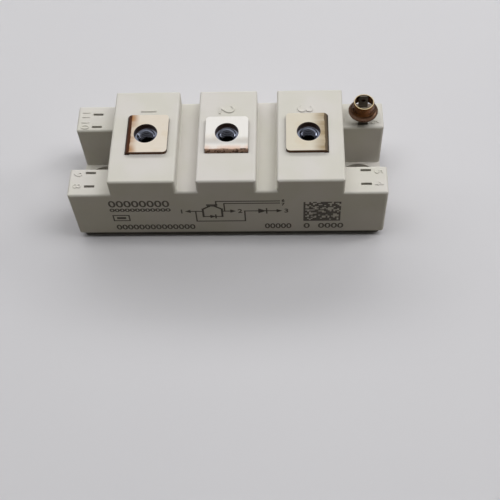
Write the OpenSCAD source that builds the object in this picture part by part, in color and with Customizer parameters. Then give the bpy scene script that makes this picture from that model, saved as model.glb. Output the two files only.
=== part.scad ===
// Chopper power module in a moulded case: base plate, metallised ceramics with chips and
// bond wires, bent busbars over captive nuts, and two signal tabs joined by an eyelet.
// Millimetres. +X runs along the case, +Z is up. The underside of the base plate lies on
// z = 0 and the origin is its middle. Each piece takes its seat from the piece below it.

/* [Case] */
// Length of the moulded case
case_l = 94; // [93:0.5:98]
// Width of the moulded case
case_w = 34; // [33.5:0.5:36]
// Height of the terminal blocks above the floor
block_top = 28.9; // [27.5:0.1:30]
// Height of the corner towers above the floor
tower_top = 22.5; // [21.5:0.1:23]
// Length of a corner tower along the case
tower_l = 12.7; // [12.4:0.1:12.8]
// Width of the screw recess between two towers
recess_w = 14.4; // [13.4:0.1:14.8]
// Length of the middle terminal block
middle_block_l = 17.4; // [16.5:0.1:18.5]
// Width of a groove between two blocks
groove_w = 6; // [5:0.1:7]
// Depth of a groove below the block tops
groove_depth = 5.4; // [4.5:0.1:6]
// Thickness of the case walls and roofs
wall = 1.8; // [1.5:0.05:1.9]
// Thickness of a tower's outer walls
tower_wall = 1.4; // [1.2:0.05:1.8]
// Thickness of a tower's wall beside the screw recess
recess_wall = 0.9; // [0.8:0.05:1]
// Thickness of the end flange on the base plate
flange_t = 2.2; // [1.6:0.1:3]
// Diameter of the opening in the flange round the screw head
head_opening_d = 13.2; // [12.4:0.1:13.3]
// Radius of the upright edges
side_edge_r = 0.9; // [0.4:0.1:1.2]
// Radius of the top edges
top_edge_r = 0.7; // [0.3:0.1:1]
// Radius at the foot of the groove walls
groove_fillet_r = 0.5; // [0.2:0.1:1]

/* [Base plate] */
// Distance by which the case overhangs the base plate
plate_inset = 1; // [0.8:0.05:1.1]
// Thickness of the base plate
plate_t = 3; // [2.5:0.1:3.5]
// Corner radius of the base plate
plate_corner_r = 1.5; // [0.5:0.1:2]
// Depth of the case's locating lip below the top of the plate
lip_drop = 0.3; // [0.1:0.1:0.8]
// Distance of a mounting hole from the end of the case
mount_edge = 7; // [6.8:0.1:7.2]
// Diameter of a mounting hole
mount_hole_d = 6.4; // [5.5:0.1:7]

/* [Power terminals] */
// Distance of an outer terminal from the middle of its block, towards the middle one
terminal_shift = 0.5; // [0.1:0.1:0.9]
// Thickness of the busbar strip
strip_t = 1.1; // [0.8:0.05:1.3]
// Inner radius of the busbar bends
bend_r = 0.25; // [0.2:0.05:0.6]
// Width of the outer busbars
outer_strip_w = 13.9; // [12.5:0.1:14.5]
// Width of the middle busbar
middle_strip_w = 12.6; // [12:0.1:13.6]
// Distance from hole to bend on the outer busbars
outer_bend_reach = 5.7; // [5.6:0.05:6]
// Distance from hole to free end on the outer busbars
outer_free_reach = 6.6; // [5.5:0.1:7]
// Distance from hole to bend on the middle busbar
middle_bend_reach = 6.7; // [6.4:0.1:8]
// Distance from hole to free end on the middle busbar
middle_free_reach = 6; // [5:0.1:7]
// Diameter of the hole in a terminal plate
terminal_hole_d = 7; // [5.5:0.1:7.4]
// Corner radius at the free end of a terminal plate
terminal_corner_r = 1.2; // [0.5:0.1:2]
// Width of the leg below the roof on the outer busbars
leg_w = 8.4; // [6:0.1:10]
// Width of the leg below the roof on the middle busbar
middle_leg_w = 3.6; // [3:0.1:3.8]
// Length of the soldered foot of a busbar
foot_l = 3.8; // [3.2:0.1:4.2]
// Clearance round a busbar in its slot
strip_clearance = 0.15; // [0.05:0.05:0.2]

/* [Terminal nuts] */
// Width across flats of a nut
nut_af = 8; // [7.5:0.1:8.1]
// Height of a nut
nut_h = 4; // [3.5:0.1:5]
// Diameter of the tapped bore at the thread crests
thread_minor_d = 4.2; // [3.8:0.1:4.6]
// Diameter of the countersink at each mouth of the bore
countersink_d = 5.4; // [5:0.1:6]
// Clearance between a nut and each wall of its pocket
nut_clearance = 0.05; // [0.02:0.01:0.1]
// Depth by which a nut lies below the block top
nut_sink = 0.1; // [0.05:0.05:0.3]
// Diameter of the blind hole below a nut
relief_d = 6; // [5.4:0.1:6.6]
// Depth of the blind hole below a nut
relief_depth = 5; // [3:0.1:6]

/* [Signal tabs] */
// Distance of the tab slots from the end of the case
slot_edge = 6.3; // [6:0.1:6.7]
// Distance of a slot pair's middle from the screw recess
slot_inset = 4; // [3.8:0.1:4.3]
// Distance between the two slots of a pair
slot_pitch = 4.9; // [4.6:0.1:5]
// Length of a tab slot
slot_l = 3.1; // [3:0.05:3.4]
// Width of a tab slot
slot_w = 0.8; // [0.7:0.05:0.9]
// Width of a tab
tab_w = 2.8; // [2.6:0.05:2.9]
// Thickness of a tab
tab_t = 0.5; // [0.4:0.05:0.6]
// Length of a tab above its tower
tab_h = 7.1; // [6:0.1:7.5]
// Height of the bevels at the tip of a tab
tab_tip = 0.4; // [0.3:0.05:0.8]
// Width of the shoulder that stops a tab under the roof
shoulder_w = 4.4; // [4:0.1:5]
// Diameter of the detent hole in a tab
detent_d = 1.2; // [0.8:0.1:1.4]
// Height of the end of a tab's tail above the floor
tail_z = 12.6; // [12:0.1:14]
// Diameter of the signal leads
lead_d = 1.2; // [0.8:0.1:1.4]
// Radius of the leads' bends at their middle line
lead_bend_r = 2; // [1.2:0.1:3]

/* [Shorting eyelet] */
// Height of the eyelet
eyelet_h = 4.2; // [3:0.1:5]
// Thickness of the eyelet's sheet
eyelet_t = 0.2; // [0.15:0.05:0.3]
// Width of the flared lip beyond the tube
eyelet_flare = 1.3; // [0.8:0.1:1.5]
// Height of the narrow rim above the tips of the tabs
eyelet_rim = 0.1; // [0.05:0.05:0.4]

/* [Substrates] */
// Thickness of a ceramic
ceramic_t = 0.4; // [0.3:0.05:0.7]
// Thickness of the copper on either side of a ceramic
copper_t = 0.3; // [0.2:0.05:0.4]
// Gap between the two ceramics
ceramic_gap = 3; // [2:0.1:3.6]
// Gap between a ceramic and the case walls
ceramic_edge_gap = 1.0; // [0.6:0.1:1.4]
// Bare margin of ceramic round the copper
copper_margin = 0.6; // [0.4:0.05:0.8]
// Gap between neighbouring tracks
track_gap = 0.7; // [0.5:0.05:0.9]
// Width of the emitter track
emitter_track_w = 6.2; // [5.4:0.1:6.4]
// Width of the gate track
gate_track_w = 1.2; // [0.8:0.1:1.4]
// Width of the anode track
anode_track_w = 4.8; // [4:0.1:5.5]

/* [Chips] */
// Width of a transistor chip across the case
igbt_w = 9; // [8:0.1:9.4]
// Thickness of the chips
chip_t = 0.25; // [0.1:0.05:0.4]
// Length of an inverse diode across the case
inverse_w = 5.6; // [4.8:0.1:6]
// Length of an inverse diode along the case
inverse_l = 4.2; // [3.6:0.1:4.4]
// Side of a freewheel diode
freewheel_side = 9; // [8:0.1:10]
// Distance of a transistor chip from the long edge of its track
chip_edge = 2.5; // [2.1:0.1:2.9]
// Gap between a transistor, the busbar's foot and the inverse diode
chip_gap = 0.6; // [0.4:0.1:0.8]
// Distance of a freewheel diode from the inner edge of its track
freewheel_edge = 3; // [2:0.1:4]

/* [Bond wires] */
// Diameter of the power bond wires
power_wire_d = 0.4; // [0.3:0.05:0.5]
// Diameter of the gate bond wires
gate_wire_d = 0.25; // [0.15:0.05:0.3]
// Distance between neighbouring power wires
power_wire_pitch = 1.2; // [0.9:0.1:1.3]
// Height of a wire loop for each millimetre of its span
loop_rise = 0.26; // [0.18:0.02:0.3]
// Length of a wire's bonded foot
wire_foot_l = 1; // [0.8:0.1:1.2]

/* [Link bridge and gel] */
// Width of the bridge between the ceramics
bridge_w = 2.2; // [1.6:0.1:2.2]
// Height of the bridge's span above the tracks
bridge_rise = 2.2; // [1.8:0.1:2.6]
// Thickness of the bridge
bridge_t = 0.5; // [0.4:0.1:0.8]
// Height of the gel above the floor
gel_top = 11.6; // [10.5:0.1:12.2]
// Clearance between the wire loops and the gel over them
gel_clearance = 0.2; // [0.1:0.05:0.4]

/* [Hidden] */
$fn = 48;
eps = 0.5;                                  // how far a cut runs past the face it opens

// Case
half_l = case_l / 2;
half_w = case_w / 2;
core_x = half_l - tower_l;                  // end wall of the outer blocks
groove_floor = block_top - groove_depth;
middle_block_x = middle_block_l / 2;
outer_block_x = middle_block_x + groove_w;  // groove wall of the outer blocks
tower_y = recess_w / 2;
flange_top = plate_t + flange_t;
cavity_x = core_x - wall;
cavity_y = half_w - wall;
slot_x = half_l - slot_edge;
slot_pair_y = tower_y + slot_inset;
blocks = [[-core_x, -outer_block_x], [-middle_block_x, middle_block_x],
          [outer_block_x, core_x]];
lip_clearance = 0.1;                        // round the plate inside the lip
chamber_r = 1;                              // upright corners of the main chamber

// Base plate
plate_x = half_l - plate_inset;
plate_y = half_w - plate_inset;
mount_x = half_l - mount_edge;

// Terminals and nuts
outer_terminal_x = (outer_block_x + core_x) / 2 - terminal_shift;
terminal_x = [-outer_terminal_x, 0, outer_terminal_x];
outer_leg_x = outer_terminal_x + outer_bend_reach;    // outer faces of the outer legs
strip_top = block_top + strip_t;
nut_top = block_top - nut_sink;
nut_seat = nut_top - nut_h;
pocket_af = nut_af + 2 * nut_clearance;
well_r = pocket_af / sqrt(3) + 1.4;         // nut well round the pocket's corners
well_bottom = nut_seat - relief_depth - 1.5;
leg_top = groove_floor - wall;              // legs are narrower below this height
well_gap = 0.1;                             // between a nut well and the busbar beside it

// Substrates, from the plate up
back_copper_z = plate_t;
ceramic_z = back_copper_z + copper_t;
track_z = ceramic_z + ceramic_t;
track_top = track_z + copper_t;
chip_top = track_top + chip_t;
ceramic_in = ceramic_gap / 2;
ceramic_out = cavity_x - ceramic_edge_gap;
ceramic_y = cavity_y - ceramic_edge_gap;
track_in = ceramic_in + copper_margin;
track_out = ceramic_out - copper_margin;
track_y = ceramic_y - copper_margin;

// Tracks, by the X of their edges
emitter_x = [-track_in - emitter_track_w, -track_in];
gate_x = [emitter_x[0] - track_gap - gate_track_w, emitter_x[0] - track_gap];
collector_x = [-track_out, gate_x[0] - track_gap];
anode_x = [track_in, track_in + anode_track_w];
cathode_x = [anode_x[1] + track_gap, track_out];
gate_pad_l = 3.4;                           // pad under the gate lead, across the tracks
gate_pad_w = 2.4;

// Chips
inverse_x = collector_x[1] - chip_gap - inverse_l / 2;
igbt_out = outer_leg_x - foot_l - chip_gap; // a transistor fills the room between
igbt_in = inverse_l / 2 + chip_gap - inverse_x;       // foot and inverse diode
igbt_l = igbt_out - igbt_in;
igbt_x = -(igbt_out + igbt_in) / 2;
chip_y = track_y - chip_edge - igbt_w / 2;
freewheel_x = cathode_x[0] + freewheel_edge + freewheel_side / 2;
gate_bond_y = igbt_w / 2 - 0.7;             // gate bond from the chip's middle

// The middle busbar's leg stands on the emitter track's inner edge
middle_leg_x = track_in + middle_leg_w + 0.3;

// The longest wire loop runs from the freewheel diodes to the anode track
anode_bond_x = (anode_x[0] + anode_x[1]) / 2;
highest_loop = chip_top + power_wire_d + (freewheel_x - anode_bond_x) * loop_rise;

// Tabs: each leans on the inner side of its slot, so that the eyelet grips both
tab_pitch = slot_pitch - (slot_w - tab_t);
tab_top = tower_top + tab_h;
tower_roof = tower_top - wall;
gate_tab_y = slot_pair_y + tab_pitch / 2;
emitter_tab_y = slot_pair_y - tab_pitch / 2;
tab_outer_y = tab_pitch / 2 + tab_t / 2;
eyelet_clearance = 0.01;
eyelet_bore_r = norm([tab_w / 2, tab_outer_y]) + eyelet_clearance;
eyelet_rim_r = norm([tab_w / 2 - tab_tip, tab_outer_y]) + eyelet_clearance;
eyelet_z = tab_top + eyelet_rim - eyelet_h;  // its neck sits on the bevels of the tabs
gate_lead_y = gate_tab_y - tab_t / 2 - lead_d / 2;        // each lead lies on the
emitter_lead_y = emitter_tab_y + tab_t / 2 + lead_d / 2;  // inner face of its tab
lead_z = tail_z + lead_d / 2 + 0.4;         // level run of the leads
gate_lead_x = gate_x[0] + 1.7;
emitter_lead_x = -track_in - 1.3;

// Link bridge
bridge_y = track_y - 0.1 - bridge_w / 2;
bridge_foot = 2.6;

// A rectangle from one corner to the other with round corners
module rounded_rect(low, high, r) {
    size = high - low;
    translate(low + [r, 0]) square([size.x - 2 * r, size.y]);
    translate(low + [0, r]) square([size.x, size.y - 2 * r]);
    for (x = [low.x + r, high.x - r], y = [low.y + r, high.y - r])
        translate([x, y]) circle(r);
}

// A box from one corner to the other
module box(low, high) {
    translate(low) cube(high - low);
}

// Extrudes a profile drawn in X and Z from one Y to the other
module along_y(y0, y1) {
    translate([0, y1, 0]) rotate([90, 0, 0]) linear_extrude(y1 - y0) children();
}

// Extrudes a profile drawn in Y and Z from one X to the other
module along_x(x0, x1) {
    translate([x0, 0, 0]) rotate([90, 0, 90]) linear_extrude(x1 - x0) children();
}

// A moulded block with round upright edges and round top edges
module moulded_block(low, high) {
    intersection() {
        translate([0, 0, low.z]) linear_extrude(high.z - low.z)
            rounded_rect([low.x, low.y], [high.x, high.y], side_edge_r);
        along_y(low.y - eps, high.y + eps)
            round_topped([low.x, low.z], [high.x, high.z], top_edge_r);
        along_x(low.x - eps, high.x + eps)
            round_topped([low.y, low.z], [high.y, high.z], top_edge_r);
    }
}

// A rectangle whose two upper corners are round
module round_topped(low, high, r) {
    translate([low.x, low.y - eps]) square([high.x - low.x, high.y - r - low.y + eps]);
    translate([low.x + r, low.y]) square([high.x - low.x - 2 * r, high.y - low.y]);
    for (x = [low.x + r, high.x - r])
        translate([x, high.y - r]) circle(r);
}

// ---- Case ----

module case_outside() {
    bottom = plate_t - lip_drop;
    moulded_block([-core_x, -half_w, bottom], [core_x, half_w, groove_floor]);
    for (b = blocks)
        moulded_block([b[0], -half_w, well_bottom], [b[1], half_w, block_top]);
    for (mx = [0, 1], my = [0, 1])
        mirror([mx, 0, 0]) mirror([0, my, 0])
            moulded_block([core_x - wall, tower_y, bottom], [half_l, half_w, tower_top]);
    for (mx = [0, 1])
        mirror([mx, 0, 0])
            box([core_x - wall, -tower_y - recess_wall, bottom],
                [half_l, tower_y + recess_wall, flange_top]);
    for (s = [-1, 1], x = [middle_block_x, outer_block_x])
        groove_fillet(s * x, s * (x == middle_block_x ? 1 : -1));
}

// The moulded fillet at the foot of a groove wall; side points into the groove
module groove_fillet(x, side) {
    r = groove_fillet_r;
    root = 0.2;                             // how far it runs into the wall and the floor
    along_y(-half_w + side_edge_r, half_w - side_edge_r) difference() {
        translate([side > 0 ? x - root : x - r, groove_floor - root])
            square(r + root);
        translate([x + side * r, groove_floor + r]) circle(r);
    }
}

module case_hollow() {
    below = plate_t - lip_drop - eps;
    // Rebate for the base plate
    translate([0, 0, below]) linear_extrude(plate_t - below)
        rounded_rect([-plate_x - lip_clearance, -plate_y - lip_clearance],
                     [plate_x + lip_clearance, plate_y + lip_clearance],
                     plate_corner_r);
    // Main chamber, up to the groove floors
    translate([0, 0, below]) linear_extrude(groove_floor - wall - below)
        rounded_rect([-cavity_x, -cavity_y], [cavity_x, cavity_y], chamber_r);
    // Chambers in the blocks
    for (b = blocks)
        box([b[0] + wall, -cavity_y, leg_top - 2], [b[1] - wall, cavity_y, block_top - wall]);
    // Chambers in the towers, open to the main chamber
    for (mx = [0, 1], my = [0, 1])
        mirror([mx, 0, 0]) mirror([0, my, 0])
            box([cavity_x - 2, tower_y + recess_wall, below],
                [half_l - tower_wall, half_w - tower_wall, tower_roof]);
}

// Solid wells that hang from the roof and hold the nuts
module nut_wells() {
    for (x = terminal_x)
        intersection() {
            translate([x, 0, well_bottom]) cylinder(h = block_top - wall / 2 - well_bottom, r = well_r);
            well_trim(x);
        }
}

// What the busbar beside a well leaves of it
module well_trim(x) {
    side = sign(x);
    reach = outer_bend_reach - strip_t - strip_clearance - well_gap;
    front = middle_bend_reach - strip_t - strip_clearance - well_gap;
    long = 2 * well_r;
    if (side == 0)
        box([-long, -front, 0], [long, long, block_top]);
    else
        box([x - (side < 0 ? reach : long), -long, 0],
            [x + (side > 0 ? reach : long), long, block_top]);
}

// Hexagonal pocket and blind hole in one well
module nut_pocket(x) {
    translate([x, 0, nut_seat])
        rotate([0, 0, 30]) cylinder(h = block_top - nut_seat + eps, d = pocket_af * 2 / sqrt(3), $fn = 6);
    translate([x, 0, nut_seat - relief_depth])
        cylinder(h = relief_depth + eps, d = relief_d);
}

// Slots in the roof for the three busbars
module busbar_slots() {
    c = strip_clearance;
    low = block_top - wall - eps;
    high = block_top + eps;
    for (side = [-1, 1]) {
        outer = outer_leg_x + c;
        inner = outer - strip_t - 2 * c;
        box([side > 0 ? inner : -outer, -outer_strip_w / 2 - c, low],
            [side > 0 ? outer : -inner, outer_strip_w / 2 + c, high]);
    }
    box([-middle_strip_w / 2 - c, -middle_bend_reach - c, low],
        [middle_strip_w / 2 + c, -middle_bend_reach + strip_t + c, high]);
    // Room for the inner radius of each bend, along the upper edge of its slot
    step = block_top - bend_r - c;
    for (side = [-1, 1]) {
        face = outer_leg_x - strip_t;
        box([side > 0 ? face - bend_r : -face, -outer_strip_w / 2 - c, step],
            [side > 0 ? face : -face + bend_r, outer_strip_w / 2 + c, high]);
    }
    box([-middle_strip_w / 2 - c, -middle_bend_reach + strip_t, step],
        [middle_strip_w / 2 + c, -middle_bend_reach + strip_t + bend_r, high]);
}

// Slots for the signal tabs in all four towers
module tab_slots() {
    for (sx = [-1, 1], sy = [-1, 1], k = [-1, 1])
        translate([sx * slot_x, sy * slot_pair_y + k * slot_pitch / 2, tower_top - wall / 2])
            cube([slot_l, slot_w, wall + 2 * eps], center = true);
}

module housing() {
    color([0.9, 0.88, 0.82])
    difference() {
        union() {
            difference() {
                case_outside();
                case_hollow();
            }
            nut_wells();
        }
        for (x = terminal_x)
            nut_pocket(x);
        busbar_slots();
        tab_slots();
        for (s = [-1, 1])
            translate([s * mount_x, 0, 0])
                cylinder(h = flange_top, d = head_opening_d);
    }
}

// ---- Base plate ----

module baseplate() {
    color([0.72, 0.72, 0.7])
    difference() {
        linear_extrude(plate_t)
            rounded_rect([-plate_x, -plate_y], [plate_x, plate_y], plate_corner_r);
        for (s = [-1, 1])
            translate([s * mount_x, 0, -eps])
                cylinder(h = plate_t + 2 * eps, d = mount_hole_d);
    }
}

// ---- Busbars ----

// Side view of a busbar bent twice the same way: plate on top, leg at 0, foot below.
// It is drawn with the leg's outer face at 0 and the plate and foot towards +.
module busbar_profile(plate_reach) {
    r = bend_r;
    outer_r = r + strip_t;
    big = plate_reach + foot_l + outer_r;
    intersection() {
        difference() {
            rounded_rect([0, track_top], [2 * big, strip_top], outer_r);
            rounded_rect([strip_t, track_top + strip_t],
                         [2 * big - strip_t, strip_top - strip_t], r);
        }
        union() {
            translate([-eps, leg_top]) square([plate_reach + eps, strip_top - leg_top + eps]);
            translate([-eps, track_top - eps]) square([foot_l + eps, leg_top - track_top + 2 * eps]);
        }
    }
}

// Face view of a busbar: full width above, a narrower leg from x0 to x1 below
module busbar_face(w, x0, x1) {
    step_r = 1;
    step_z = leg_top;
    translate([-w / 2, step_z]) square([w, strip_top - step_z + eps]);
    translate([x0, track_top - eps]) square([x1 - x0, step_z - track_top + 2 * eps]);
    if (x0 - step_r > -w / 2)
        step_fillet(x0, step_z, -1, step_r);
    if (x1 + step_r < w / 2)
        step_fillet(x1, step_z, 1, step_r);
}

// The round inner corner between the leg and the wide part of a busbar
module step_fillet(x, z, side, r) {
    root = 0.1;
    difference() {
        translate([side > 0 ? x - root : x - r, z - r]) square([r + root, r + root]);
        translate([x + side * r, z - r]) circle(r);
    }
}

// Plan of a terminal plate: round corners at the free end, which is towards +X
module plate_plan(w, bend_reach, free_reach) {
    r = terminal_corner_r;
    translate([-bend_reach - eps, -w / 2]) square([bend_reach + eps + free_reach - r, w]);
    translate([-bend_reach, -w / 2 + r]) square([bend_reach + free_reach, w - 2 * r]);
    for (y = [-w / 2 + r, w / 2 - r])
        translate([free_reach - r, y]) circle(r);
}

// A whole busbar with its hole at the origin and its leg towards -X
module busbar(w, bend_reach, free_reach, leg0, leg1) {
    color([0.86, 0.84, 0.78])
    difference() {
        intersection() {
            translate([-bend_reach, 0, 0]) along_y(-w / 2, w / 2)
                busbar_profile(bend_reach + free_reach);
            along_x(-bend_reach - eps, free_reach + eps) busbar_face(w, leg0, leg1);
            linear_extrude(strip_top + eps) plate_plan(w, bend_reach, free_reach);
        }
        translate([0, 0, block_top - eps])
            cylinder(h = strip_t + 2 * eps, d = terminal_hole_d);
    }
}

module terminal_1() {
    translate([terminal_x[0], 0, 0])
        busbar(outer_strip_w, outer_bend_reach, outer_free_reach, -leg_w / 2, leg_w / 2);
}

// Its leg stands at the front, over the emitter track
module terminal_2() {
    translate([terminal_x[1], 0, 0]) rotate([0, 0, 90])
        busbar(middle_strip_w, middle_bend_reach, middle_free_reach,
               middle_leg_x - middle_leg_w, middle_leg_x);
}

module terminal_3() {
    translate([terminal_x[2], 0, 0]) mirror([1, 0, 0])
        busbar(outer_strip_w, outer_bend_reach, outer_free_reach, -leg_w / 2, leg_w / 2);
}

// ---- Nuts ----

// A hexagon nut with chamfered corners and a countersunk bore
module nut(k) {
    corner_r = nut_af / sqrt(3);
    crest_r = nut_af / 2 * 0.98;            // where the corner chamfer meets each face
    chamfer = (corner_r - crest_r) * tan(30);
    sink = (countersink_d - thread_minor_d) / 2;
    color([0.6, 0.6, 0.58])
    translate([terminal_x[k], 0, nut_seat])
    difference() {
        intersection() {
            rotate([0, 0, 30]) cylinder(h = nut_h, r = corner_r, $fn = 6);
            rotate_extrude() polygon([
                [0, 0], [crest_r, 0], [corner_r, chamfer], [corner_r, nut_h - chamfer],
                [crest_r, nut_h], [0, nut_h]]);
        }
        translate([0, 0, -eps]) cylinder(h = nut_h + 2 * eps, d = thread_minor_d);
        rotate_extrude() polygon([
            [0, -eps], [countersink_d / 2 + eps, -eps], [thread_minor_d / 2, sink], [0, sink]]);
        rotate_extrude() polygon([
            [0, nut_h - sink], [thread_minor_d / 2, nut_h - sink],
            [countersink_d / 2 + eps, nut_h + eps], [0, nut_h + eps]]);
    }
}

// ---- Signal tabs, eyelet and leads ----

// A stamped tab with a bevelled tip, a stop shoulder under the roof and a solder tail
module tab(y) {
    shoulder_h = 1.6;
    tail_w = 2;
    color([0.7, 0.7, 0.68])
    translate([slot_x, 0, 0]) difference() {
        along_y(y - tab_t / 2, y + tab_t / 2) {
            polygon([
                [-tab_w / 2, tower_roof - shoulder_h / 2], [tab_w / 2, tower_roof - shoulder_h / 2],
                [tab_w / 2, tab_top - tab_tip], [tab_w / 2 - tab_tip, tab_top],
                [-tab_w / 2 + tab_tip, tab_top], [-tab_w / 2, tab_top - tab_tip]]);
            translate([-shoulder_w / 2, tower_roof - shoulder_h]) square([shoulder_w, shoulder_h]);
            translate([-tail_w / 2, tail_z]) square([tail_w, tower_roof - shoulder_h / 2 - tail_z]);
        }
        translate([0, y + tab_t / 2 + eps, tab_top - tab_h / 4]) rotate([90, 0, 0])
            cylinder(h = tab_t + 2 * eps, d = detent_d);
    }
}

module gate_tab() {
    tab(gate_tab_y);
}

module emitter_tab() {
    tab(emitter_tab_y);
}

// A thin eyelet pushed down over both tabs: flared lip, tube, and a neck that their tips stop
module shorting_eyelet() {
    r_in = eyelet_bore_r;
    r_out = r_in + eyelet_t;
    lip_r = r_out + eyelet_flare;
    flare_z = eyelet_flare + eyelet_t;
    rim_z = eyelet_h - eyelet_rim;
    neck_z = rim_z - tab_tip;
    color([0.72, 0.5, 0.25])
    translate([slot_x, slot_pair_y, eyelet_z])
    rotate_extrude() {
        polygon([
            [r_in, flare_z], [r_out, flare_z], [r_out, neck_z],
            [eyelet_rim_r + eyelet_t, rim_z], [eyelet_rim_r + eyelet_t, eyelet_h],
            [eyelet_rim_r, eyelet_h], [eyelet_rim_r, rim_z], [r_in, neck_z]]);
        intersection() {
            difference() {
                translate([lip_r, flare_z]) circle(flare_z);
                translate([lip_r, flare_z]) circle(eyelet_flare);
            }
            translate([r_in - eps, -eps]) square([lip_r - r_in + eps, flare_z + eps]);
        }
    }
}

// A lead from a pad up, round a bend and along +X to the tail of its tab
module lead(x, y) {
    r = lead_bend_r;
    color([0.75, 0.2, 0.15]) {
        translate([x, y, track_top]) cylinder(h = lead_z - r - track_top, d = lead_d);
        translate([x + r, y, lead_z - r]) rotate([90, 0, 0])
            rotate([0, 0, 90]) rotate_extrude(angle = 90) translate([r, 0]) circle(d = lead_d);
        translate([x + r, y, lead_z]) rotate([0, 90, 0])
            cylinder(h = slot_x + 1 - x - r, d = lead_d);
    }
}

module gate_lead() {
    lead(gate_lead_x, gate_lead_y);
}

module emitter_lead() {
    lead(emitter_lead_x, emitter_lead_y);
}

// ---- Substrates ----

module left_back_copper() {
    color([0.75, 0.45, 0.3])
        box([-track_out, -track_y, back_copper_z], [-track_in, track_y, ceramic_z]);
}

module right_back_copper() {
    color([0.75, 0.45, 0.3])
        box([track_in, -track_y, back_copper_z], [track_out, track_y, ceramic_z]);
}

module left_ceramic() {
    color([0.93, 0.93, 0.9])
        box([-ceramic_out, -ceramic_y, ceramic_z], [-ceramic_in, ceramic_y, track_z]);
}

module right_ceramic() {
    color([0.93, 0.93, 0.9])
        box([ceramic_in, -ceramic_y, ceramic_z], [ceramic_out, ceramic_y, track_z]);
}

// A track as long as the copper, between two X
module track(x) {
    color([0.8, 0.5, 0.33])
        box([x[0], -track_y, track_z], [x[1], track_y, track_top]);
}

// The corner that the gate lead's pad takes, with its gap on the sides named
module gate_pad(gap) {
    box([gate_x[0] - gap, track_y - gate_pad_w - gap, track_z - eps * sign(gap)],
        [gate_x[0] + gate_pad_l + gap, track_y + eps * sign(gap), track_top + eps * sign(gap)]);
}

module collector_track() {
    track(collector_x);
}

module emitter_track() {
    color([0.8, 0.5, 0.33])
    difference() {
        track(emitter_x);
        gate_pad(track_gap);
    }
}

// A strip past both transistors, with a pad for the lead
module gate_track() {
    color([0.8, 0.5, 0.33]) {
        track(gate_x);
        gate_pad(0);
    }
}

module anode_track() {
    track(anode_x);
}

module cathode_track() {
    track(cathode_x);
}

// ---- Chips ----

module chip(x, y, l, w) {
    color([0.35, 0.36, 0.42])
        box([x - l / 2, y - w / 2, track_top], [x + l / 2, y + w / 2, chip_top]);
}

module igbt_chip_1() {
    chip(igbt_x, chip_y, igbt_l, igbt_w);
}

module igbt_chip_2() {
    chip(igbt_x, -chip_y, igbt_l, igbt_w);
}

module inverse_diode_1() {
    chip(inverse_x, chip_y, inverse_l, inverse_w);
}

module inverse_diode_2() {
    chip(inverse_x, -chip_y, inverse_l, inverse_w);
}

module freewheel_diode_1() {
    chip(freewheel_x, chip_y, freewheel_side, freewheel_side);
}

module freewheel_diode_2() {
    chip(freewheel_x, -chip_y, freewheel_side, freewheel_side);
}

// ---- Bond wires ----

// The bonded foot of a wire
module wire_foot(x, y, z, d) {
    translate([x - wire_foot_l / 2, y - 0.65 * d, z]) cube([wire_foot_l, 1.3 * d, d]);
}

// One loop along X from foot to foot: an arc through both feet's middles
module wire_loop(x0, z0, x1, z1, y, d) {
    span = norm([x1 - x0, z1 - z0]);
    rise = span * loop_rise;
    r = (span * span / 4 + rise * rise) / (2 * rise);
    half = asin(span / 2 / r);
    tilt = atan2(z1 - z0, x1 - x0);
    translate([x0, y, z0 + d / 2]) rotate([0, -tilt, 0])
        translate([span / 2, 0, rise - r]) rotate([90, 0, 0])
            rotate([0, 0, 90 - half]) rotate_extrude(angle = 2 * half)
                translate([r, 0]) circle(d = d);
}

// Wires stitched from a transistor to its inverse diode and on to the emitter track
module emitter_bond_wires() {
    d = power_wire_d;
    end_x = emitter_x[0] + 1.2;
    color([0.85, 0.85, 0.86])
    for (s = [-1, 1], k = [-1.5:1:1.5]) {
        y = s * chip_y + k * power_wire_pitch;
        union() {
            wire_foot(igbt_x, y, chip_top, d);
            wire_loop(igbt_x, chip_top, inverse_x, chip_top, y, d);
            wire_foot(inverse_x, y, chip_top, d);
            wire_loop(inverse_x, chip_top, end_x, track_top, y, d);
            wire_foot(end_x, y, track_top, d);
        }
    }
}

// One wire from each transistor's gate to the gate track
module gate_bond_wires() {
    d = gate_wire_d;
    x0 = igbt_x + igbt_l / 2 - 0.8;
    x1 = (gate_x[0] + gate_x[1]) / 2;
    color([0.85, 0.85, 0.86])
    for (s = [-1, 1]) {
        y = s * (chip_y + gate_bond_y);
        union() {
            wire_foot(x0, y, chip_top, d);
            wire_loop(x0, chip_top, x1, track_top, y, d);
            wire_foot(x1, y, track_top, d);
        }
    }
}

// Wires from the freewheel diodes to the anode track
module anode_bond_wires() {
    d = power_wire_d;
    x0 = anode_bond_x;
    color([0.85, 0.85, 0.86])
    for (s = [-1, 1], k = [-2:1:2]) {
        y = s * chip_y + k * power_wire_pitch;
        union() {
            wire_foot(freewheel_x, y, chip_top, d);
            wire_loop(x0, track_top, freewheel_x, chip_top, y, d);
            wire_foot(x0, y, track_top, d);
        }
    }
}

// ---- Link bridge and gel ----

// A bent copper strap from the collector track over the emitter track to the anode track
module link_bridge() {
    x0 = collector_x[1] - 0.2;
    x1 = anode_x[0] + 0.2;
    z1 = track_top + bridge_rise;
    color([0.8, 0.5, 0.33])
    along_y(-bridge_y - bridge_w / 2, -bridge_y + bridge_w / 2) {
        translate([x0 - bridge_foot, track_top]) square([bridge_foot, bridge_t]);
        translate([x0 - bridge_t, track_top]) square([bridge_t, bridge_rise + bridge_t]);
        translate([x0 - bridge_t, z1]) square([x1 - x0 + 2 * bridge_t, bridge_t]);
        translate([x1, track_top]) square([bridge_t, bridge_rise + bridge_t]);
        translate([x1, track_top]) square([bridge_foot, bridge_t]);
    }
}

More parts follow.
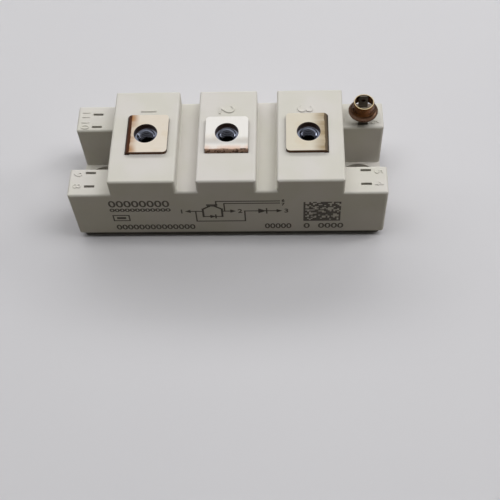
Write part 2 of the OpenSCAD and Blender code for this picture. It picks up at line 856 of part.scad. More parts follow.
// Soft gel over chips and wires, with a free space where they stand
module silicone_gel() {
    fit = 0.05;
    hug = 0.1;                              // round the busbars
    lead_hug = 0.3;
    x = cavity_x - fit;
    y = cavity_y - fit;
    color([0.75, 0.85, 0.85, 0.4])
    difference() {
        translate([0, 0, plate_t]) linear_extrude(gel_top - plate_t)
            rounded_rect([-x, -y], [x, y], chamber_r - fit);
        box([-ceramic_out - hug, -ceramic_y - hug, plate_t - eps],
            [ceramic_out + hug, ceramic_y + hug, highest_loop + gel_clearance]);
        for (s = [-1, 1])
            box([s > 0 ? outer_leg_x - strip_t - hug : -outer_leg_x - hug,
                 -leg_w / 2 - hug, track_top],
                [s > 0 ? outer_leg_x + hug : -outer_leg_x + strip_t + hug,
                 leg_w / 2 + hug, gel_top + eps]);
        box([-middle_leg_x - hug, -middle_bend_reach - hug, track_top],
            [-middle_leg_x + middle_leg_w + hug, -middle_bend_reach + strip_t + hug,
             gel_top + eps]);
        for (p = [[gate_lead_x, gate_lead_y], [emitter_lead_x, emitter_lead_y]])
            translate([p.x, p.y, track_top]) cylinder(h = gel_top, d = lead_d + 2 * lead_hug);
    }
}

housing();
baseplate();
terminal_1();
terminal_2();
terminal_3();
nut(0);  // nut_1
nut(1);  // nut_2
nut(2);  // nut_3
gate_tab();
emitter_tab();
shorting_eyelet();
gate_lead();
emitter_lead();
left_back_copper();
right_back_copper();
left_ceramic();
right_ceramic();
collector_track();
emitter_track();
gate_track();
anode_track();
cathode_track();
igbt_chip_1();
igbt_chip_2();
inverse_diode_1();
inverse_diode_2();
freewheel_diode_1();
freewheel_diode_2();
emitter_bond_wires();
gate_bond_wires();
anode_bond_wires();
link_bridge();
silicone_gel();
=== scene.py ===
"""Studio picture of a chopper power module on a pale table.

The CAD nodes keep their shape and get their materials here. This script adds what is finer than
the CAD: threaded nuts, the numbers moulded on the case, and the print on its front.
Lengths are metres; MM turns a length in millimetres into metres. +X runs along the case,
-Y is the printed front and +Z is up.
"""
import math
import random

import bmesh
import bpy
from mathutils import Matrix, Vector


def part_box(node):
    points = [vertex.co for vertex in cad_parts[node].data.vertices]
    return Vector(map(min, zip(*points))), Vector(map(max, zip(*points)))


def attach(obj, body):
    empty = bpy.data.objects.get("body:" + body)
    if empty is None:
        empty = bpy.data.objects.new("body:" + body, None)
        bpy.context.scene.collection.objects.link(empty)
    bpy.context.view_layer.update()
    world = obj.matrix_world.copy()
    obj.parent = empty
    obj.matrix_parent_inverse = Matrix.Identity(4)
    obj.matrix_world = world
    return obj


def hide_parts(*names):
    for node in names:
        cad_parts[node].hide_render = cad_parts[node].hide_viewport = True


MM = 0.001
BODY = "root"

# Numbers moulded on the case: they read from the right-hand end
BLOCK_NUMBERS = ("I", "2", "3")  # block 1 carries a plain bar
BLOCK_NUMBER_H = 4.9 * MM
BLOCK_NUMBER_Y = 9.35 * MM
BLOCK_NUMBER_PITCH = 23.5 * MM
BLOCK_NUMBER_SHIFT = -0.3 * MM
TOWER_NUMBERS = {  # side of the case in X and Y: numbers from the inner slot to the outer one
    (1, 1): ("6", "7"),
    (1, -1): ("5", "4"),
    (-1, -1): ("9", "8"),
    (-1, 1): ("10", "11"),
}
TOWER_NUMBER_H = 2.6 * MM
TOWER_NUMBER_EDGE = 2.6 * MM  # from the end of the case to the middle of a number
TOWER_NUMBER_Y = (9.3 * MM, 13.5 * MM)
BLOCK_RELIEF = 0.22 * MM  # height of the numbers above the blocks, before their bevel
TOWER_RELIEF = 0.15 * MM
NUMBER_BEVEL = 0.06 * MM

# Built-in font
GLYPH_H = 0.73  # height of a digit as a share of the font's size
GLYPH_STEPS = 8  # steps in each curve of a glyph

# Terminals and nuts
TERMINAL_PITCH = 24 * MM
THREAD_MAJOR_R = 2.5 * MM
THREAD_MINOR_R = 2.1 * MM
THREAD_PITCH = 0.8 * MM
THREAD_SLOPE = 1.6  # how fast the flanks rise and fall over half a pitch
THREAD_CREST = 0.25  # what the crests cut off below them
COUNTERSINK_R = 2.7 * MM
NUT_FLATS = 8 * MM
NUT_CHAMFER_SHARE = 0.98  # where the chamfer starts at each end, of the width across flats
NUT_CHAMFER_ANGLE = math.radians(30)
NUT_SIDES = 96
NUT_LAYERS = 72

# Print on the front
INK_T = 0.03 * MM
LINE_W = 0.42 * MM
SYMBOL_W = 0.6 * MM
BOLD = 0.08 * MM  # added all round the printed digits
DIGIT_H = 2 * MM
SMALL_DIGIT_H = 1.3 * MM
ROWS_OF_ZEROS = (  # how many, ends of the row, its middle and its height, in millimetres
    (8, -35.5, -17.3, 18, 3.3),
    (12, -35.6, -17.2, 14.8, 1.6),
    (14, -34.9, -10.6, 5.6, 2.6),
    (5, 10.7, 18.8, 5.7, 2.6),
    (1, 22.5, 24.4, 5.7, 2.6),
    (4, 26.9, 34.6, 5.7, 2.6),
)
CELL_COLUMNS = 20
CELL_ROWS = 18
CELL_SHARE = 0.64  # how much of the patch is dark
CELL_SEED = 7

# Painted shade on the case, which is colour alone
HOLE_BOTTOM_HALF = 3.2 * MM  # how far the painted shade of a hole bottom goes from its terminal's axis
HOLE_BOTTOM_Z = (0.05 * MM, 6 * MM)  # the least and the most below the nut
PATCH_BEHIND = 3.2 * MM  # from the eyelet's axis to the middle of the patch of painted shade
PATCH_R = (2.8 * MM, 4.4 * MM)  # where it starts to fade and where it ends

# Light. For each lamp: name, azimuth from the back towards +X, elevation, size in metres, watts,
# and whether metal mirrors it
LAMPS = (
    ("right_panel", 90, 66, (0.3, 0.6), 3.5, False),
    ("left_panel", -90, 75, (0.3, 0.6), 2.3, False),
    ("window", 0, 41, (1.6, 0.25), 5.1, False),
    ("right_lamp", 70, 33, (0.3, 0.3), 1.6, True),
    ("left_lamp", -58, 28, (0.25, 0.3), 0.8, True),
)
SKY_UP = (0, 0.2, 0.98)  # the direction in which metal sees the sky brightest
SKY_RAMP = {"From Min": 0.2, "From Max": 0.75, "To Min": 0.05, "To Max": 0.9}  # what it sees
SKY_SEEN = 0.62  # strength where the camera looks past the table
SKY_FILL = 0.02  # strength of the light that the sky gives the module
FLOOR_R = 3.0  # metres

# Camera. Lens and sensor width are in millimetres, as Blender has them
CAMERA_PLACE = Vector((18.25, -172.188, 243.441)) * MM
CAMERA_TURN = (-4.665, -58.268, -4.357)  # yaw, pitch and roll in degrees
CAMERA_LENS = 66.864
CAMERA_SENSOR = 36
CAMERA_NEAR = 10 * MM


# ---- Meshes ----

def add_mesh(name, bm, material):
    """A new piece from a bmesh, riding on the body, with the material in its slot."""
    mesh = bpy.data.meshes.new(name)
    bm.to_mesh(mesh)
    bm.free()
    piece = bpy.data.objects.new(name, mesh)
    bpy.context.scene.collection.objects.link(piece)
    mesh.materials.append(material)
    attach(piece, BODY)
    return piece


def extent(bm, axis):
    """The lowest and highest place of a bmesh along one axis."""
    places = [v.co[axis] for v in bm.verts]
    return min(places), max(places)


def surface_z(node, x, y):
    """Height of a CAD node's highest surface above the point x, y."""
    above = Vector((x, y, 1.0))
    hit, place, _, _ = node.ray_cast(above, Vector((0, 0, -1)))
    if not hit:
        raise ValueError(f"nothing of {node.name} lies under {x}, {y}")
    return place.z


def glyph_mesh(text, height, relief, bevel=0.0, bold=0.0):
    """The built-in font's glyphs as a bmesh of that height, centred on the origin."""
    curve = bpy.data.curves.new("glyph", "FONT")
    curve.body = text
    curve.size = height / GLYPH_H
    curve.extrude = relief
    curve.bevel_depth = bevel
    curve.offset = bold - bevel
    curve.resolution_u = GLYPH_STEPS
    curve.align_x = "CENTER"
    curve.align_y = "CENTER"
    holder = bpy.data.objects.new("glyph", curve)
    bpy.context.scene.collection.objects.link(holder)
    graph = bpy.context.evaluated_depsgraph_get()
    mesh = bpy.data.meshes.new_from_object(holder.evaluated_get(graph))
    bm = bmesh.new()
    bm.from_mesh(mesh)
    bpy.data.meshes.remove(mesh)
    bpy.data.objects.remove(holder)
    bpy.data.curves.remove(curve)
    middle = Vector((sum(extent(bm, 0)) / 2, sum(extent(bm, 1)) / 2, 0))
    bmesh.ops.translate(bm, vec=-middle, verts=bm.verts)
    return bm


def merge(target, source, matrix):
    """Moves source by matrix and adds it to target."""
    bmesh.ops.transform(source, matrix=matrix, verts=source.verts)
    mesh = bpy.data.meshes.new("part")
    source.to_mesh(mesh)
    source.free()
    target.from_mesh(mesh)
    bpy.data.meshes.remove(mesh)


def moulded_numbers(housing, material):
    """The numbers in relief on the three blocks and the four towers."""
    case_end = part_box("housing")[1][0]
    turned = Matrix.Rotation(-math.pi / 2, 4, "Z")
    bm = bmesh.new()
    for k, text in enumerate(BLOCK_NUMBERS):
        x = (k - 1) * BLOCK_NUMBER_PITCH + BLOCK_NUMBER_SHIFT
        z = surface_z(housing, x, BLOCK_NUMBER_Y)
        glyph = glyph_mesh(text, BLOCK_NUMBER_H, BLOCK_RELIEF, NUMBER_BEVEL)
        merge(bm, glyph, Matrix.Translation((x, BLOCK_NUMBER_Y, z)) @ turned)
    for (side_x, side_y), numbers in TOWER_NUMBERS.items():
        x = side_x * (case_end - TOWER_NUMBER_EDGE)
        for text, y in zip(numbers, TOWER_NUMBER_Y):
            z = surface_z(housing, x, side_y * y)
            glyph = glyph_mesh(text, TOWER_NUMBER_H, TOWER_RELIEF, NUMBER_BEVEL)
            merge(bm, glyph, Matrix.Translation((x, side_y * y, z)) @ turned)
    add_mesh("moulded_numbers", bm, material)


# ---- Threaded nuts ----

def thread_radius(angle, z, z_low, z_high):
    """Radius of the bore at one place: a 60 degree thread that runs out into both countersinks."""
    phase = (z / THREAD_PITCH - angle / (2 * math.pi)) % 1.0
    groove = min(1.0, max(0.0, THREAD_SLOPE * (1 - abs(2 * phase - 1)) - THREAD_CREST))
    radius = THREAD_MINOR_R + (THREAD_MAJOR_R - THREAD_MINOR_R) * groove
    mouth = min(z - z_low, z_high - z)
    return max(radius, COUNTERSINK_R - mouth)


def hexagon_radius(angle, z, z_low, z_high):
    """Radius of the outside at one place: six flats, with chamfered corners at both ends."""
    sector = (angle + math.pi / 6) % (math.pi / 3) - math.pi / 6
    flat = NUT_FLATS / 2 / math.cos(sector)
    mouth = min(z - z_low, z_high - z)
    chamfer = NUT_FLATS / 2 * NUT_CHAMFER_SHARE + mouth / math.tan(NUT_CHAMFER_ANGLE)
    return min(flat, chamfer)


def threaded_nut(node, material):
    """The nut of a terminal with a real helical thread, in place of its plain CAD solid."""
    low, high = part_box(node)
    x = (low[0] + high[0]) / 2
    y = (low[1] + high[1]) / 2
    bm = bmesh.new()
    rings = []
    for outline in (thread_radius, hexagon_radius):
        for j in range(NUT_LAYERS + 1):
            z = low[2] + (high[2] - low[2]) * j / NUT_LAYERS
            ring = []
            for i in range(NUT_SIDES):
                angle = 2 * math.pi * i / NUT_SIDES
                r = outline(angle, z, low[2], high[2])
                ring.append(bm.verts.new((x + r * math.cos(angle), y + r * math.sin(angle), z)))
            rings.append(ring)
    inner, outer = rings[:NUT_LAYERS + 1], rings[NUT_LAYERS + 1:]
    for i in range(NUT_SIDES):
        n = (i + 1) % NUT_SIDES
        for j in range(NUT_LAYERS):
            bm.faces.new((inner[j][n], inner[j][i], inner[j + 1][i], inner[j + 1][n]))
            bm.faces.new((outer[j][i], outer[j][n], outer[j + 1][n], outer[j + 1][i]))
        bm.faces.new((inner[0][i], inner[0][n], outer[0][n], outer[0][i]))
        bm.faces.new((inner[-1][n], inner[-1][i], outer[-1][i], outer[-1][n]))
    bmesh.ops.recalc_face_normals(bm, faces=bm.faces)
    piece = add_mesh("threaded_" + node, bm, material)
    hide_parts(node)


# ---- Print on the front ----

class FrontPrint:
    """Flat ink on the front of the case, drawn in x and z."""

    def __init__(self):
        self.bm = bmesh.new()
        self.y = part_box("housing")[0][1]

    def area(self, points):
        """A flat ink area with the given corners, as a thin closed solid."""
        front = [self.bm.verts.new((x, self.y - INK_T, z)) for x, z in points]
        back = [self.bm.verts.new((x, self.y, z)) for x, z in points]
        self.bm.faces.new(front)
        self.bm.faces.new(back[::-1])
        for i in range(len(points)):
            n = (i + 1) % len(points)
            self.bm.faces.new((front[n], front[i], back[i], back[n]))

    def bar(self, x0, x1, z0, z1):
        """An upright rectangle."""
        self.area([(x0, z0), (x1, z0), (x1, z1), (x0, z1)])

    def path(self, *points, width=LINE_W):
        """A line of even width through the points."""
        for (x0, z0), (x1, z1) in zip(points, points[1:]):
            along = Vector((x1 - x0, z1 - z0)).normalized() * width / 2
            side = Vector((-along.y, along.x))
            start = Vector((x0, z0)) - along
            end = Vector((x1, z1)) + along
            self.area([start - side, end - side, end + side, start + side])

    def arrow(self, x, z, size, towards):
        """A filled triangle whose tip is at x, z and points towards -1 or +1."""
        back = x - towards * size
        self.area([(x, z), (back, z + size / 2), (back, z - size / 2)][::towards])

    def diode(self, x, z, size):
        """A diode symbol centred on x, z that conducts towards +X."""
        self.arrow(x + size / 2, z, size, 1)
        self.path((x + size / 2, z - size / 2), (x + size / 2, z + size / 2))

    def number(self, text, x, z, height, width=None):
        """Digits centred on x, z, stretched to a width where one is given."""
        glyph = glyph_mesh(text, height, INK_T / 2, bold=BOLD)
        if width:
            left, right = extent(glyph, 0)
            bmesh.ops.scale(glyph, vec=(width / (right - left), 1, 1), verts=glyph.verts)
        upright = Matrix.Rotation(math.pi / 2, 4, "X")
        merge(self.bm, glyph, Matrix.Translation((x, self.y - INK_T / 2, z)) @ upright)

    def finish(self, material):
        """Turns the ink into a piece."""
        bmesh.ops.recalc_face_normals(self.bm, faces=self.bm.faces)
        add_mesh("front_print", self.bm, material)


def draw_circuit(ink):
    """The circuit of the module: one transistor with its inverse diode, and a freewheel diode."""
    mid, low, top = 13.9 * MM, 8.6 * MM, 17 * MM
    left, right = -7.6 * MM, -1.9 * MM
    middle = (left + right) / 2
    node_x, loop_x, pins_x = -9.8 * MM, 4.9 * MM, 15.3 * MM
    inverse_z, shoulder_z = 11.1 * MM, 15 * MM
    gate_z, sense_z = 19 * MM, 17.9 * MM
    base_z, gate_bar_z, gate_x = top - 0.4 * MM, top + 0.2 * MM, middle + 1.3 * MM
    size = 1.7 * MM
    # Terminal 1 to the transistor, and round it to the freewheel diode and terminal 3
    ink.number("1", -14 * MM, mid, DIGIT_H)
    ink.arrow(-13 * MM, mid, size, -1)
    ink.path((-12.2 * MM, mid), (left, mid))
    ink.path((node_x, mid), (node_x, low), (loop_x, low), (loop_x, mid), (pins_x, mid))
    ink.diode(10.2 * MM, mid, 2.5 * MM)
    ink.arrow(16.1 * MM, mid, size, 1)
    ink.number("3", 17.3 * MM, mid, DIGIT_H)
    # Transistor
    for x, way in ((left, -1), (right, 1)):
        ink.path((x, inverse_z), (x, shoulder_z), (middle + way * 0.8 * MM, top - 0.5 * MM),
                 width=SYMBOL_W)
    ink.path((middle - 1.3 * MM, base_z), (middle + 1.3 * MM, base_z))
    ink.path((middle - 1.4 * MM, gate_bar_z), (middle + 1.4 * MM, gate_bar_z), width=SYMBOL_W)
    # Inverse diode
    ink.path((left, inverse_z), (right, inverse_z))
    ink.diode(middle, inverse_z, size)
    # Terminal 2
    ink.path((right, mid), (1.4 * MM, mid))
    ink.arrow(2.3 * MM, mid, size, 1)
    ink.number("2", 3.5 * MM, mid, DIGIT_H)
    # Gate and emitter sense
    ink.path((gate_x, gate_bar_z), (gate_x, gate_z), (pins_x, gate_z))
    ink.path((right + 0.8 * MM, mid), (right + 0.8 * MM, sense_z), (pins_x, sense_z))
    ink.number("6", 16.4 * MM, gate_z + 0.2 * MM, SMALL_DIGIT_H)
    ink.number("7", 16.4 * MM, sense_z - 0.6 * MM, SMALL_DIGIT_H)


def draw_cells(ink):
    """A patch of random cells with a plain edge on two sides, which holds no message."""
    left, right = 22.4 * MM, 33.5 * MM
    low, high = 8.3 * MM, 18.3 * MM
    step_x = (right - left) / CELL_COLUMNS
    step_z = (high - low) / CELL_ROWS
    ink.bar(left, right, low, low + step_z)
    ink.bar(left, left + step_x, low + step_z, high)
    dice = random.Random(CELL_SEED)
    for row in range(1, CELL_ROWS):
        start = None
        for column in range(1, CELL_COLUMNS + 1):
            dark = column < CELL_COLUMNS and dice.random() < CELL_SHARE
            if dark and start is None:
                start = column
            if not dark and start is not None:
                ink.bar(left + start * step_x, left + column * step_x,
                        low + row * step_z, low + (row + 1) * step_z)
                start = None


def draw_placeholders(ink):
    """Rows of zeros and one plain frame, where a product has its lettering and marks."""
    for count, left, right, middle, height in ROWS_OF_ZEROS:
        ink.number("0" * count, (left + right) / 2 * MM, middle * MM, height * MM,
                   (right - left) * MM)
    left, right, low, high = -35 * MM, -30.2 * MM, 9.2 * MM, 12 * MM
    margin_x, margin_z = 1 * MM, 0.9 * MM
    ink.path((left, low), (right, low), (right, high), (left, high), (left, low))
    ink.bar(left + margin_x, right - margin_x, low + margin_z, high - margin_z)


def front_print(material):
    """Everything printed on the front."""
    ink = FrontPrint()
    draw_circuit(ink)
    draw_cells(ink)
    draw_placeholders(ink)
    ink.finish(material)


# ---- Materials ----

def add_node(tree, kind, inputs=None, **settings):
    """A node with its settings and with its inputs linked or set."""
    made = tree.nodes.new(kind)
    for key, value in settings.items():
        setattr(made, key, value)
    for key, value in (inputs or {}).items():
        if isinstance(value, bpy.types.NodeSocket):
            tree.links.new(value, made.inputs[key])
        else:
            made.inputs[key].default_value = value
    return made


class Shader:
    """A procedural material with the few nodes that this scene needs."""

    def __init__(self, name, color, roughness, metallic=0.0, **sockets):
        self.material = bpy.data.materials.new(name)
        self.material.use_nodes = True
        self.tree = self.material.node_tree
        self.main = self.tree.nodes["Principled BSDF"]
        self.set("Base Color", (*color, 1.0))
        self.set("Roughness", roughness)
        self.set("Metallic", metallic)
        for socket, value in sockets.items():
            self.set(socket.replace("_", " "), value)
        self.place = self.tree.nodes.new("ShaderNodeTexCoord").outputs["Object"]

    def set(self, socket, value):
        """Gives a socket of the main shader one value for the whole surface."""
        self.main.inputs[socket].default_value = value

    def link(self, output, socket):
        """Drives a socket of the main shader by a node's output."""
        self.tree.links.new(output, self.main.inputs[socket])

    def node(self, kind, inputs=None, **settings):
        """A node of this material."""
        return add_node(self.tree, kind, inputs, **settings)

    def noise(self, size, detail=3.0, stretch=(1, 1, 1)):
        """Noise from 0 to 1 whose features are about that long."""
        scaled = self.node("ShaderNodeMapping", {"Vector": self.place, "Scale": stretch})
        return self.node("ShaderNodeTexNoise", {
            "Vector": scaled.outputs[0], "Scale": 1 / size, "Detail": detail}).outputs["Fac"]

    def math(self, operation, *values):
        """One sum or comparison of values and outputs."""
        made = self.node("ShaderNodeMath", dict(enumerate(values)), operation=operation)
        return made.outputs[0]

    def between(self, value, low, high, start=0.0, end=1.0):
        """start below low, end above high, and smooth in between."""
        return self.node("ShaderNodeMapRange", {
            "Value": value, "From Min": low, "From Max": high, "To Min": start, "To Max": end},
            interpolation_type="SMOOTHSTEP").outputs[0]

    def mix(self, factor, a, b):
        """Colour a where factor is 0 and b where it is 1."""
        a, b = (c if isinstance(c, bpy.types.NodeSocket) else (*c, 1.0) for c in (a, b))
        return self.node("ShaderNodeMix", {0: factor, 6: a, 7: b}, data_type="RGBA").outputs[2]

    def axis(self, name):
        """One coordinate of the surface, in the row frame."""
        return self.node("ShaderNodeSeparateXYZ", {0: self.place}).outputs[name]

    def facing(self, name):
        """How far the surface faces along one axis, from -1 to 1."""
        normal = self.node("ShaderNodeNewGeometry").outputs["True Normal"]
        return self.node("ShaderNodeSeparateXYZ", {0: normal}).outputs[name]

    def bump(self, height, depth):
        """Relief of that depth in metres."""
        made = self.node("ShaderNodeBump", {"Height": height, "Distance": depth, "Strength": 1.0})
        self.link(made.outputs[0], "Normal")


def srgb(r, g, b):
    """A colour from screen values of 0 to 255."""
    def linear(v):
        v /= 255
        return v / 12.92 if v <= 0.04045 else ((v + 0.055) / 1.055) ** 2.4
    return linear(r), linear(g), linear(b)


def painted_hole_shade(s):
    """1 where shade is painted in the blind holes below the nuts, and 0 elsewhere."""
    nut_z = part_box("nut_1")[0][2]
    least, most = HOLE_BOTTOM_Z
    below = s.math("MULTIPLY", s.math("LESS_THAN", s.axis("Z"), nut_z - least),
                   s.math("GREATER_THAN", s.axis("Z"), nut_z - most))
    central = s.math("LESS_THAN", s.math("ABSOLUTE", s.axis("Y")), HOLE_BOTTOM_HALF)
    from_axis = s.math("PINGPONG", s.axis("X"), TERMINAL_PITCH / 2)
    beside = s.math("LESS_THAN", from_axis, HOLE_BOTTOM_HALF)
    return s.math("MULTIPLY", below, s.math("MULTIPLY", central, beside))


def eyelet_painted_shade(s):
    """How much shade is painted on the top of the case behind the eyelet, from 0 to 0.9."""
    low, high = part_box("shorting_eyelet")
    centre = ((low[0] + high[0]) / 2, (low[1] + high[1]) / 2 + PATCH_BEHIND)
    aside = [s.math("SUBTRACT", s.axis(axis), c) for axis, c in zip("XY", centre)]
    square = s.math("ADD", *(s.math("MULTIPLY", a, a) for a in aside))
    patch = s.between(s.math("SQRT", square), *PATCH_R, 0.9, 0)
    return s.math("MULTIPLY", patch, s.between(s.facing("Z"), 0.3, 0.7))


def case_plastic():
    """Warm white glass-filled plastic with a fine eroded texture and faint flow clouds.

    It has painted shade at the bottom of the screw holes and on the case top behind the eyelet.
    """
    s = Shader("case_plastic", srgb(214, 210, 202), 0.52, Specular_IOR_Level=0.4)
    clouds = s.between(s.noise(14 * MM, 2), 0.35, 0.65)
    color = s.mix(clouds, srgb(212, 209, 199), srgb(216, 212, 206))
    specks = s.between(s.noise(0.5 * MM, 2), 0.66, 0.78, 0, 0.25)
    color = s.mix(specks, color, srgb(188, 180, 165))
    # painted shade: the bottoms of the screw holes below the nuts are dark
    color = s.mix(painted_hole_shade(s), color, srgb(40, 38, 36))
    # painted shade: a brown-grey patch on the case top under and behind the eyelet, so what shows
    # through its bore is dark
    s.link(s.mix(eyelet_painted_shade(s), color, srgb(88, 72, 60)), "Base Color")
    s.link(s.between(s.noise(2 * MM, 4), 0.3, 0.7, 0.47, 0.6), "Roughness")
    s.bump(s.noise(0.16 * MM, 3), 0.012 * MM)
    return s.material


def print_ink():
    """Dark grey laser marking, a little uneven."""
    s = Shader("print_ink", srgb(92, 88, 84), 0.7)
    s.link(s.mix(s.noise(0.4 * MM), srgb(82, 77, 72), srgb(106, 100, 94)), "Base Color")
    return s.material


def base_metal():
    """Nickel-plated copper, dulled, with fine rolling marks."""
    s = Shader("base_metal", srgb(150, 145, 136), 0.42, 1.0)
    grain = s.noise(0.3 * MM, 3, (0.05, 1, 1))
    s.link(s.mix(grain, srgb(104, 100, 93), srgb(140, 135, 127)), "Base Color")
    s.bump(grain, 0.006 * MM)
    return s.material


def busbar_metal(node, axis, side, band, reach, burnt, stain, tin, spots=0.0, shade=0.0):
    """Tinned copper with a burnt bend and dark cut edges.

    axis and side say where the bend is. band is the width of its burnt strip and reach how far
    the stain beside it goes. burnt and stain are their colours, and tin is the darker colour of
    the plating. spots says how far dark spots cover the strip, and shade how much of a dull zone
    shows beyond it.
    """
    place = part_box(node)[side > 0]["XY".index(axis)]
    across = (0.12, 1, 1) if axis == "X" else (1, 0.12, 1)
    soft = 0.12 * MM  # how far the strip's inner edge wanders, and half its blur
    s = Shader("metal_" + node, srgb(236, 230, 220), 0.34, 1.0)
    depth = s.math("MULTIPLY", s.math("SUBTRACT", s.axis(axis), place), -side)
    wander = s.between(s.noise(3 * MM, 2), 0.3, 0.7, -soft, soft)
    depth = s.math("ADD", depth, wander)
    streaks = s.noise(0.4 * MM, 3, across)
    plated = s.mix(streaks, tin, [min(1.0, 1.08 * c) for c in tin])
    blush = s.between(s.noise(5 * MM, 3), 0.5, 0.72, 0, 0.3)
    plated = s.mix(blush, plated, srgb(222, 204, 172))
    dull = s.math("MULTIPLY", s.between(depth, band + 1 * MM, band + 2.4 * MM),
                  s.between(depth, band + 2.8 * MM, band + 5 * MM, shade, 0))
    plated = s.mix(dull, plated, srgb(170, 168, 166))
    patches = s.between(s.noise(3.5 * MM, 3, across), 0.3, 0.65, 0.3, 1)
    far = s.between(depth, band, band + reach, 1, 0)
    stained = s.mix(s.math("MULTIPLY", far, patches), plated, stain)
    strip = s.mix(s.between(s.noise(0.9 * MM, 3), 0.5, 0.62, 0, spots), burnt, srgb(58, 36, 26))
    surface = s.mix(s.between(depth, band - soft, band + soft), strip, stained)
    top = s.between(s.facing("Z"), 0.05, 0.2)
    edge = s.mix(s.noise(1.2 * MM, 3), srgb(62, 42, 32), srgb(98, 70, 52))
    s.link(s.mix(top, edge, surface), "Base Color")
    s.link(s.between(depth, band, band + 0.4 * MM, 0.5, 0.33), "Roughness")
    s.bump(s.noise(0.5 * MM, 4), 0.006 * MM)
    return s.material


def nut_metal():
    """Blue-passivated zinc on steel, a little streaky, with painted shade on the thread below the
    mouth.
    """
    s = Shader("nut_metal", srgb(150, 154, 162), 0.2, 1.0)
    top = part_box("nut_1")[1][2]
    # painted shade: the thread deep in the bore is dark; the mouth at the top keeps a lighter zinc
    # colour
    thread = s.mix(s.noise(3 * MM, 2), srgb(56, 58, 65), srgb(84, 86, 95))
    mouth = s.between(s.axis("Z"), top - 1.3 * MM, top - 0.5 * MM)
    s.link(s.mix(mouth, thread, srgb(128, 133, 148)), "Base Color")
    s.link(s.between(s.noise(1.5 * MM, 2), 0.3, 0.7, 0.1, 0.18), "Roughness")
    return s.material


def tab_metal():
    """Dull tinned brass."""
    s = Shader("tab_metal", srgb(120, 114, 104), 0.5, 1.0)
    s.link(s.mix(s.noise(1 * MM, 4), srgb(96, 88, 78), srgb(136, 129, 118)), "Base Color")
    s.bump(s.noise(0.3 * MM), 0.004 * MM)
    return s.material


def eyelet_metal():
    """Thin brass, tarnished brown, with a bright worn rim and painted shade on the lip at its
    bottom.
    """
    low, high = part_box("shorting_eyelet")
    s = Shader("eyelet_metal", srgb(120, 72, 36), 0.3, 1.0)
    clouds = s.noise(1.4 * MM, 4)
    brown = s.mix(clouds, srgb(88, 54, 30), srgb(134, 88, 52))
    # painted shade: the lowest millimetre of the eyelet, its lip, is darkened towards grey-brown
    lip = s.between(s.axis("Z"), low[2] + 0.3 * MM, low[2] + 1.3 * MM, 0.85, 0)
    brown = s.mix(lip, brown, srgb(84, 68, 58))
    rim = s.between(s.axis("Z"), high[2] - 0.14 * MM, high[2] - 0.05 * MM)
    s.link(s.mix(rim, brown, srgb(232, 212, 168)), "Base Color")
    s.link(s.between(clouds, 0.3, 0.7, 0.24, 0.4), "Roughness")
    return s.material


def plain(name, dark, light, grain, roughness, metallic=0.0, **sockets):
    """A simple two-tone surface for the pieces inside the case."""
    s = Shader(name, light, roughness, metallic, **sockets)
    tone = s.noise(grain, 3)
    s.link(s.mix(tone, dark, light), "Base Color")
    s.bump(tone, grain * 0.02)
    return s.material


def dress(frame):
    """Gives every CAD node its material."""
    case = case_plastic()
    tab = tab_metal()
    nut = nut_metal()
    lead = plain("lead_silicone", srgb(150, 28, 20), srgb(178, 40, 28), 2 * MM, 0.4)
    ceramic = plain("ceramic", srgb(228, 228, 222), srgb(240, 240, 236), 1 * MM, 0.7)
    copper = plain("bonded_copper", srgb(186, 108, 74), srgb(214, 138, 98), 0.6 * MM, 0.4, 1.0)
    silicon = plain("silicon", srgb(84, 86, 100), srgb(112, 114, 128), 0.8 * MM, 0.25, 0.6)
    wire = plain("aluminium_wire", srgb(200, 200, 202), srgb(226, 226, 228), 0.3 * MM, 0.35, 1.0)
    gel = plain("gel", srgb(214, 226, 226), srgb(226, 236, 236), 3 * MM, 0.2,
                Transmission_Weight=0.7, IOR=1.41)
    exact = {
        "housing": case,
        "baseplate": base_metal(),
        "terminal_1": busbar_metal(
            "terminal_1", "X", -1, band=1.35 * MM, reach=2.6 * MM, burnt=srgb(84, 52, 36),
            stain=srgb(180, 134, 92), tin=srgb(230, 221, 207)),
        "terminal_2": busbar_metal(
            "terminal_2", "Y", -1, band=0.78 * MM, reach=2 * MM, burnt=srgb(172, 142, 122),
            stain=srgb(236, 208, 190), tin=srgb(244, 242, 238), spots=0.8, shade=0.4),
        "terminal_3": busbar_metal(
            "terminal_3", "X", 1, band=1.05 * MM, reach=4.5 * MM, burnt=srgb(112, 98, 80),
            stain=srgb(170, 150, 118), tin=srgb(224, 217, 201)),
        "shorting_eyelet": eyelet_metal(),
        "silicone_gel": gel,
    }
    endings = (("_tab", tab), ("_lead", lead), ("_ceramic", ceramic), ("_copper", copper),
               ("_track", copper), ("_bridge", copper), ("_wires", wire), ("nut_", nut),
               ("_chip", silicon), ("_diode", silicon))
    for name, node in frame["nodes"].items():
        material = exact.get(name)
        if material is None:
            material = next(m for part, m in endings if part in name)
        node.data.materials.clear()
        node.data.materials.append(material)
    return case, nut


# ---- Stage ----

def pale_floor():
    """A wide pale table top that keeps the shadow and throws a warmer light back at the case."""
    bm = bmesh.new()
    bmesh.ops.create_circle(bm, cap_ends=True, segments=96, radius=FLOOR_R)
    mesh = bpy.data.meshes.new("floor")
    bm.to_mesh(mesh)
    bm.free()
    floor = bpy.data.objects.new("floor", mesh)
    bpy.context.scene.collection.objects.link(floor)
    s = Shader("table", srgb(215, 214, 217), 0.8, Specular_IOR_Level=0.2)
    seen = s.mix(s.noise(0.12, 2), srgb(212, 211, 214), srgb(217, 216, 218))
    path = s.node("ShaderNodeLightPath")
    s.link(s.mix(path.outputs["Is Diffuse Ray"], seen, srgb(160, 154, 142)), "Base Color")
    mesh.materials.append(s.material)


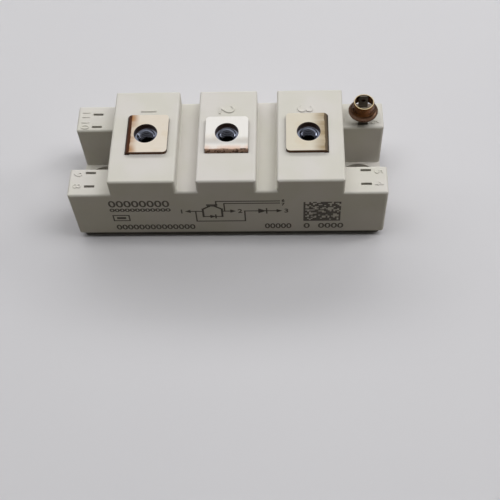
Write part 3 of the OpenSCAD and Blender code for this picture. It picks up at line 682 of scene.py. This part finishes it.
def softbox(name, azimuth, elevation, size, power, mirrored):
    """An area lamp a metre from the module and aimed at it."""
    azimuth, elevation = math.radians(azimuth), math.radians(elevation)
    place = Vector((math.cos(elevation) * math.sin(azimuth),
                    math.cos(elevation) * math.cos(azimuth), math.sin(elevation)))
    lamp = bpy.data.lights.new(name, "AREA")
    lamp.shape = "RECTANGLE"
    lamp.size, lamp.size_y = size
    lamp.energy = power
    holder = bpy.data.objects.new(name, lamp)
    holder.visible_glossy = mirrored
    bpy.context.scene.collection.objects.link(holder)
    aim = (-place).to_track_quat("-Z", "Y")
    holder.matrix_world = Matrix.Translation(place) @ aim.to_matrix().to_4x4()


def studio_world():
    """A plain pale room that lights the module a little, and that metal sees as bright above."""
    world = bpy.data.worlds.new("studio")
    bpy.context.scene.world = world
    world.use_nodes = True
    tree = world.node_tree
    back = tree.nodes["Background"]
    back.inputs["Color"].default_value = (1.0, 0.99, 0.98, 1.0)
    ray = add_node(tree, "ShaderNodeLightPath").outputs
    where = add_node(tree, "ShaderNodeTexCoord").outputs["Generated"]
    up = add_node(tree, "ShaderNodeVectorMath", {0: where, 1: SKY_UP}, operation="DOT_PRODUCT")
    sky = add_node(tree, "ShaderNodeMapRange", {"Value": up.outputs["Value"], **SKY_RAMP},
                   interpolation_type="SMOOTHSTEP")
    lit = add_node(tree, "ShaderNodeMix", {
        0: ray["Is Glossy Ray"], 2: SKY_FILL, 3: sky.outputs[0]}, data_type="FLOAT")
    shown = add_node(tree, "ShaderNodeMath", {
        0: ray["Is Camera Ray"], 1: ray["Is Transmission Ray"]}, operation="MAXIMUM")
    strength = add_node(tree, "ShaderNodeMix", {
        0: shown.outputs[0], 2: lit.outputs[0], 3: SKY_SEEN}, data_type="FLOAT")
    tree.links.new(strength.outputs[0], back.inputs["Strength"])


def photo_camera():
    """The camera: above the front of the module and a little to its right."""
    yaw, pitch, roll = (math.radians(a) for a in CAMERA_TURN)
    ahead = Vector((math.sin(yaw) * math.cos(pitch), math.cos(yaw) * math.cos(pitch),
                    math.sin(pitch)))
    right = Vector((math.cos(yaw), -math.sin(yaw), 0))
    up = right.cross(ahead)
    side = right * math.cos(roll) + up * math.sin(roll)
    top = up * math.cos(roll) - right * math.sin(roll)
    camera = bpy.data.cameras.new("camera")
    camera.sensor_width = CAMERA_SENSOR
    camera.lens = CAMERA_LENS
    camera.clip_start = CAMERA_NEAR
    holder = bpy.data.objects.new("camera", camera)
    bpy.context.scene.collection.objects.link(holder)
    turn = Matrix((side, top, -ahead)).transposed().to_4x4()
    holder.matrix_world = Matrix.Translation(CAMERA_PLACE) @ turn
    bpy.context.scene.camera = holder


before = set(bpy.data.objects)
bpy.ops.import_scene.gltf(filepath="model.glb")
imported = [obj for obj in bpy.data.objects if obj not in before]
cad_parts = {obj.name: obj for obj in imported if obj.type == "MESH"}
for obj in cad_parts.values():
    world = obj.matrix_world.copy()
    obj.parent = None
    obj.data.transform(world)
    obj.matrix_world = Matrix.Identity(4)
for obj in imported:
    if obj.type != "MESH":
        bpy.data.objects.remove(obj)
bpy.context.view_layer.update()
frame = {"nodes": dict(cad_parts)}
case, nut = dress(frame)
moulded_numbers(frame["nodes"]["housing"], case)
for number in (1, 2, 3):
    threaded_nut(f"nut_{number}", nut)
front_print(print_ink())
pale_floor()
for lamp in LAMPS:
    softbox(*lamp)
studio_world()
photo_camera()
bpy.context.scene.view_settings.view_transform = "Standard"
